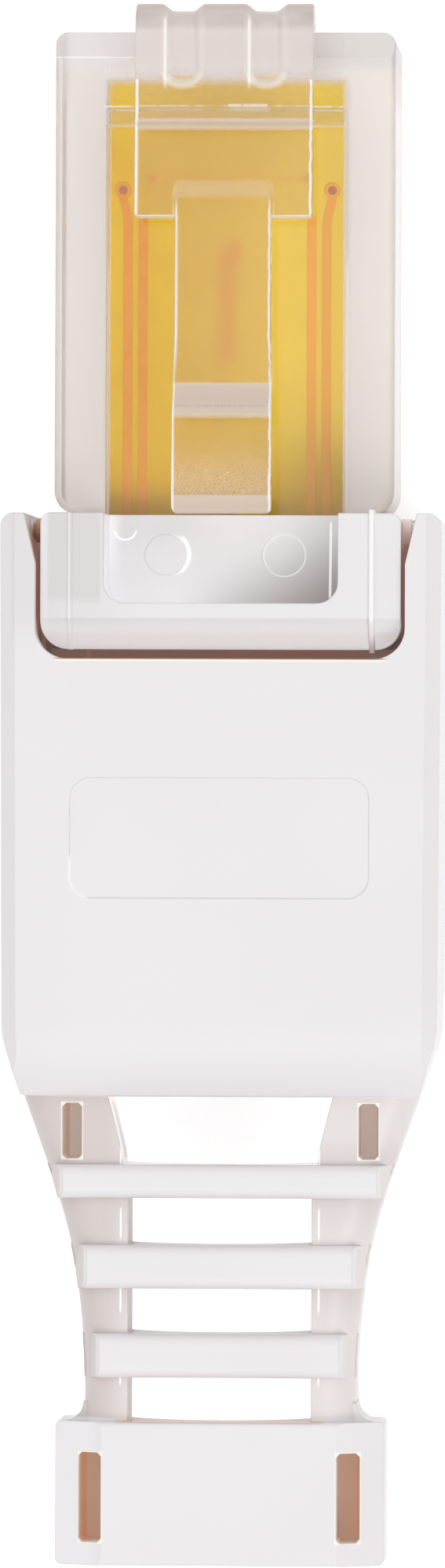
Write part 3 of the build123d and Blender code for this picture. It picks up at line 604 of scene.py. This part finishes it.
def collar_shade(x, y, z):
    """Painted light and shade on the base: the pins' shoulders in the dark beside the collar, in painted
    shade, the right one lighter; the collar's cooler left side, in painted shade; painted highlights on
    its two raised lines; painted light on its sloping rear band; the dark gap behind it, in painted brown
    shade with a warm glow; and the pocket, painted bright, with a painted shadow in its dark far corner
    and painted highlights on its ejector rings and a shiny inner line."""
    # Painted shade on the left pin's shoulder and painted light on the right one, each with a glow.
    near_pin = y.near(0.0, 0.6, 0.05) * z.between(8.5, 10.0, 0.05)
    shoulder_left = x.between(-6.55, -6.0, 0.02) * near_pin
    shoulder_right = x.between(6.0, 6.55, 0.02) * near_pin
    on_top = z.rises(10.9, 11.3)
    # Painted shade: the collar's left side is cooler and darker.
    left_front = x.falls(-4.2, -3.95) * y.rises(-2.9, -2.2)
    left_rear = x.falls(-5.4, -2.4) * 0.45
    left = left_front.larger(left_rear) * x.rises(-6.0, -5.8) * on_top
    # Painted highlights on the collar's two raised lines.
    left_line = x.between(-5.19, -5.14, 0.02) * y.rises(-4.2, -4.1) * on_top
    rib = x.between(5.04, 5.26, 0.02)
    # Painted light on the sloping rear band, brightest towards its rear edge.
    band = y.rises(-4.25, -4.2) * y.falls(-3.5, -2.9) * z.rises(10.3, 10.5)
    band_edge = band * y.falls(-4.0, -3.55)
    # Painted shade in the gap behind the collar: brown, with a warm painted glow.
    between_walls = abs(x).falls(5.9, 6.0).larger(z.rises(9.2, 9.8))
    gap = y.between(-4.75, -4.05, 0.03) * z.falls(10.2, 10.8) * abs(x).falls(*GAP_HALF) * between_walls
    # Painted light in the pocket: lighter at its rear left and along its left side, less at its front
    # left.
    pocket = abs(x).falls(POCKET_HALF - POCKET_SOFT, POCKET_HALF + POCKET_SOFT)
    pocket = pocket * y.rises(POCKET_REAR - POCKET_SOFT, POCKET_REAR + POCKET_SOFT)
    pocket = pocket * z.falls(11.4, 11.8) * z.rises(7.0, 7.5)
    pocket_left = pocket * x.falls(-2.2, 0.6)
    pocket_front = pocket_left * y.rises(-1.2, 0.2)
    pocket_rear = pocket_left * y.falls(-2.3, -0.9)
    pocket_side = pocket * x.falls(-4.0, -3.4)
    # Painted shadow in the pocket's far corner.
    corner = (x * 0.562 - y * 0.826).rises(0.8, 4.5) * pocket
    # Painted highlights on the ejector rings, a crescent, a small ring and an inner line of the pocket.
    ring_left = ring(x, y, -MARK_PLACE + 0.04, MARK_LEVEL, MARK_RADIUS) * x.rises(-1.9, -1.4)
    crescent = ring(x, y, -MARK_PLACE, MARK_LEVEL + 0.03, MARK_RADIUS + 0.06, 0.07) * x.rises(-1.55, -1.35)
    ring_right = ring(x, y, MARK_PLACE + 0.06, MARK_LEVEL, MARK_RADIUS) * 0.5
    ring_small = ring(x, y, -3.43, 0.08, 0.38) * y.falls(-0.1, 0.1)
    line = x.between(3.6, 3.68, 0.02) * y.between(-2.3, 0.3, 0.1)
    bright = (ring_left + crescent + ring_right + ring_small + line).clamp() * pocket
    return (
        (shoulder_left, srgb(190, 145, 118), (0.034, 0.018, 0.009)),
        (shoulder_right, srgb(236, 222, 214), (0.12, 0.1, 0.092)),
        (left, srgb(222, 219, 218), NO_GLOW),
        (band * 0.95, srgb(235, 232, 232), (0.125, 0.15, 0.155)),
        (band_edge, srgb(244, 243, 244), (0.27, 0.3, 0.31)),
        (gap, GAP_SHADE_BROWN, GAP_SHADE_GLOW),
        (rib, srgb(250, 248, 248), (0.03, 0.03, 0.03)),
        (left_line * 0.5, srgb(250, 249, 249), (0.06, 0.06, 0.06)),
        (pocket, srgb(240, 238, 240), (0.13, 0.13, 0.135)),
        (pocket_front, srgb(231, 228, 230), (0.06, 0.062, 0.065)),
        (pocket_rear, srgb(242, 240, 242), (0.2, 0.2, 0.205)),
        (pocket_side, srgb(242, 241, 244), (0.2, 0.2, 0.21)),
        (corner * 0.9, srgb(152, 144, 140), (0.026, 0.026, 0.024)),
        (bright * 0.85, srgb(255, 255, 255), (0.32, 0.32, 0.32)),
    )


white_base = white_plastic("white_base", collar_shade)
coat("base_housing", white_base)

# Block and comb inside: white plastic parts that hold the terminals and the eight wires.
# The terminals are tinned brass forks that cut into the wires as the cover is pressed shut.
for name in ("idc_block", "wire_manager"):
    coat(name, white_base)
tin = Paint("tinned_brass")
tin.finish(tin.plastic(
    base_color=srgb(205, 200, 190),
    metallic=1.0,
    roughness=0.3 + tin.noise(tin.where(), 0.3) * 0.15,
))
for number in range(1, WIRE_COUNT + 1):
    coat(f"idc_terminal_{number}", tin)

# Cover: one white moulding with two arms, a label recess, and a ladder-shaped tail.
# It clips over the hinge pins and is pressed shut over the wires.
PLATE_BOTTOM, PLATE_TOP = 11.0, 12.3
TAIL_SLOT = ((4.73, 5.41), (-21.53, -19.62))
BLOCK_SLOT = ((4.02, 4.81), (-34.65, -31.57))
SLOT_RIM = 0.04
FIRST_RUNG_FRONT, FRONT_SHADE = -21.72, 1.2
RUNG_REARS = ((-22.87, 1.6), (-25.97, 1.53))  # the first two rungs, and how far each shades the rail
PLATE_FRONT, LIP_WIDTH = -4.45, 0.06
LABEL_SIDE, LABEL_REAR, LABEL_ROUND = -5.1, -11.86, 0.73


def slot_mask(x, y, slot, rim=0.0):
    """One inside a tie slot and its twin on the other side, or inside them and their rims."""
    across, along = slot
    sides = abs(x).between(across[0] - rim, across[1] + rim, 0.01)
    return sides * y.between(along[0] - rim, along[1] + rim, 0.01)


def cover_shade(x, y, z):
    """Painted light and shade on the cover: the tail's rails painted a shade darker than its rungs, with
    painted glints along their inner edges; the deep tie slots in painted warm shade with a glow, with
    painted highlights on their rims and orange outer strips of painted light; the warm walls of the
    openings in painted shade, the first opening's walls painted lighter; the end block's left part
    painted lighter and the left arm darker; a painted highlight on the bright front lip of the plate,
    with a painted shadow beside it, behind the dark gap in painted brown shade; and a painted highlight
    on the lit corner of the label recess."""
    # Painted shade on the rails: darker than the rungs, darker on the left, and near the first rungs.
    rail = y.between(-30.4, -19.4, 0.05) * z.falls(10.6, 10.9)
    ahead = y - FIRST_RUNG_FRONT
    shades = ahead.falls(0.0, FRONT_SHADE) * ahead.rises(-0.05, 0.0)
    for rear, reach in RUNG_REARS:
        shades = shades + (y - rear).rises(-reach, 0.0) * (y - rear).falls(0.0, 0.05)
    shady = rail * shades.clamp()
    # Painted glints along the rails' inner edges.
    glint = rail * abs(x).between(3.36, 3.42, 0.02) * (y * 0.8).math("PINGPONG", 1.0).rises(0.5, 0.7)
    rail_left = rail * x.falls(-4.0, -3.0)
    # Painted shade in the deep tie slots, warm with a glow, orange outer strips of painted light, and
    # painted highlights on their rims.
    low = z.falls(9.6, 10.0) * z.rises(7.5, 7.7)
    tail_slot = slot_mask(x, y, TAIL_SLOT) * low
    block_slot = slot_mask(x, y, BLOCK_SLOT) * low
    rims = slot_mask(x, y, TAIL_SLOT, SLOT_RIM) + slot_mask(x, y, BLOCK_SLOT, SLOT_RIM)
    tail_strip = tail_slot * abs(x).rises(5.26, 5.32)
    block_strip = block_slot * abs(x).rises(4.62, 4.68)
    # Painted shade on the walls of the openings and the end block's front wall; the first opening's walls
    # painted lighter, with a glow.
    wall = abs(x).between(3.0, 3.16, 0.01) * y.between(-30.5, -22.9, 0.05) * z.falls(10.3, 10.5)
    gap_wall = abs(x).falls(3.9, 3.98) * y.between(-21.8, -19.3, 0.03) * z.falls(10.25, 10.5)
    end_wall = y.between(-30.56, -30.48, 0.01) * abs(x).falls(3.4, 3.7)
    # Painted light: the end block's left part is lighter, with a faint glow.
    block_left = x.falls(-4.4, -3.9) * y.falls(-30.6, -30.5) * z.rises(9.7, 9.9)
    # Painted shade in the gap in front of the plate: brown, with a warm painted glow.
    above_bottom = z.rises(PLATE_BOTTOM, PLATE_BOTTOM + 0.04)
    gap = y.between(-4.6, -4.0, 0.03) * z.falls(11.6, 12.1) * abs(x).falls(*GAP_HALF) * above_bottom
    # Painted highlight on the plate's front lip, with a painted shadow just in front of it.
    lip_reach = abs(x).falls(5.4, 5.8)
    lip = y.between(PLATE_FRONT - LIP_WIDTH, PLATE_FRONT, 0.01) * lip_reach
    lip = lip * z.rises(PLATE_TOP - 0.15, PLATE_TOP - 0.05)
    lip_shadow = y.between(PLATE_FRONT + 0.005, PLATE_FRONT + 0.07, 0.01) * lip_reach
    lip_shadow = lip_shadow * z.rises(PLATE_TOP - 0.3, PLATE_TOP - 0.2)
    # Painted shade: the left arm is a little darker.
    arm_left = x.falls(-6.3, -6.2) * x.rises(-7.2, -7.0) * y.rises(-4.6, -2.6) * z.rises(11.9, 12.1)
    # Painted highlight on the lit corner of the label recess.
    label_left = x.near(LABEL_SIDE, 0.03, 0.02) * y.between(-11.9, -11.2, 0.15)
    label_corner = ring(x, y, LABEL_SIDE + LABEL_ROUND, LABEL_REAR, LABEL_ROUND)
    label_corner = label_corner * x.falls(-4.6, -4.4) * y.falls(-12.0, -11.8)
    label_light = (label_left + label_corner).clamp() * z.rises(PLATE_TOP - 0.2, PLATE_TOP - 0.1)
    return (
        (rail, srgb(233, 227, 225), NO_GLOW),
        (rail_left, srgb(219, 210, 207), NO_GLOW),
        (shady * 0.6, srgb(218, 209, 206), NO_GLOW),
        (block_left, srgb(240, 239, 240), (0.03, 0.03, 0.032)),
        (glint, srgb(255, 254, 252), (0.1, 0.1, 0.1)),
        (rims.clamp() * z.rises(9.8, 10.0), srgb(252, 248, 244), (0.04, 0.04, 0.035)),
        (tail_slot, srgb(210, 196, 188), (0.2, 0.163, 0.143)),
        (block_slot, srgb(200, 168, 146), (0.19, 0.125, 0.09)),
        (tail_strip, srgb(202, 170, 150), (0.18, 0.132, 0.108)),
        (block_strip, srgb(206, 152, 112), (0.2, 0.11, 0.066)),
        (wall, srgb(214, 196, 188), NO_GLOW),
        (gap_wall, srgb(243, 239, 238), (0.17, 0.165, 0.16)),
        (end_wall, srgb(232, 214, 202), NO_GLOW),
        (gap, GAP_SHADE_BROWN, (0.1, 0.062, 0.05)),
        (lip_shadow, srgb(186, 158, 142), NO_GLOW),
        (lip, srgb(255, 248, 236), (0.05, 0.045, 0.035)),
        (arm_left, srgb(231, 228, 229), NO_GLOW),
        (label_light * 0.8, srgb(255, 255, 255), (0.1, 0.1, 0.1)),
    )


white_cover = white_plastic("white_cover", cover_shade)
coat("cover", white_cover)

# Floor and light: a plain pale table in a bright room, with two wide soft lamps.
# Camera, mirror and glass rays see the table and the room's walls near white.
FLOOR_SIZE = 1.2
FLOOR_DROP = 0.01 * MM
LAMP_DISTANCE = 0.5
LAMP_AIM = Vector((0.0, -9.0 * MM, 6.0 * MM))


def viewing_rays(paint):
    """Two masks: one for the camera's own rays, and one for those in a gloss or through clear plastic."""
    glossy = paint.node("LightPath", output="Is Glossy Ray")
    through = paint.node("LightPath", output="Is Transmission Ray")
    return paint.node("LightPath", output="Is Camera Ray"), glossy + through


across, along = np.meshgrid(np.array((-0.5, 0.5)) * FLOOR_SIZE, np.array((-0.5, 0.5)) * FLOOR_SIZE)
corners = np.stack([across, along, np.full_like(across, -FLOOR_DROP)], -1).reshape(-1, 3)
floor_mesh = bpy.data.meshes.new("floor")
floor_mesh.from_pydata(corners.tolist(), [], [(0, 1, 3, 2)])
floor = bpy.data.objects.new("floor", floor_mesh)
bpy.context.scene.collection.objects.link(floor)
table_top = Paint("table_top")
seen, shown = viewing_rays(table_top)
table_top.finish(table_top.plastic(
    base_color=(0.75, 0.75, 0.75),
    roughness=0.9,
    specular_ior_level=0.1,
    emission_color=table_top.mix((seen + shown).clamp(), NO_GLOW, (0.6, 0.6, 0.6)),
    emission_strength=1.0,
))
floor_mesh.materials.append(table_top.material)


def add_lamp(name, azimuth, elevation, size, power):
    """A square soft lamp on a sphere round the aim point, facing it."""
    turn, rise = math.radians(azimuth), math.radians(elevation)
    way = Vector((math.cos(turn) * math.cos(rise), math.sin(turn) * math.cos(rise), math.sin(rise)))
    data = bpy.data.lights.new(name, "AREA")
    data.shape = "SQUARE"
    data.size = size
    data.energy = power
    made = bpy.data.objects.new(name, data)
    facing = way.to_track_quat("Z", "Y").to_matrix().to_4x4()
    made.matrix_world = Matrix.Translation(LAMP_AIM + way * LAMP_DISTANCE) @ facing
    bpy.context.scene.collection.objects.link(made)


add_lamp("lamp_left", 140, 45, 0.35, 0.3)
add_lamp("lamp_right", -50, 55, 0.25, 0.65)

room = Paint("room", "World")
_, _, height = room.split(room.node("TexCoord", output="Generated"))
seen, shown = viewing_rays(room)
soft_walls = room.mix(height.rises(-0.1, 0.8), srgb(222, 216, 212), srgb(218, 218, 220))
bright_walls = room.mix(height.rises(-0.1, 0.5), srgb(236, 228, 224), srgb(255, 255, 255))
walls = room.mix(shown.clamp(), soft_walls, bright_walls)
room.finish(room.node("Background", {}, [room.mix(seen, walls, (1.0, 1.0, 1.0)), 1.0]))
bpy.context.scene.world = room.material
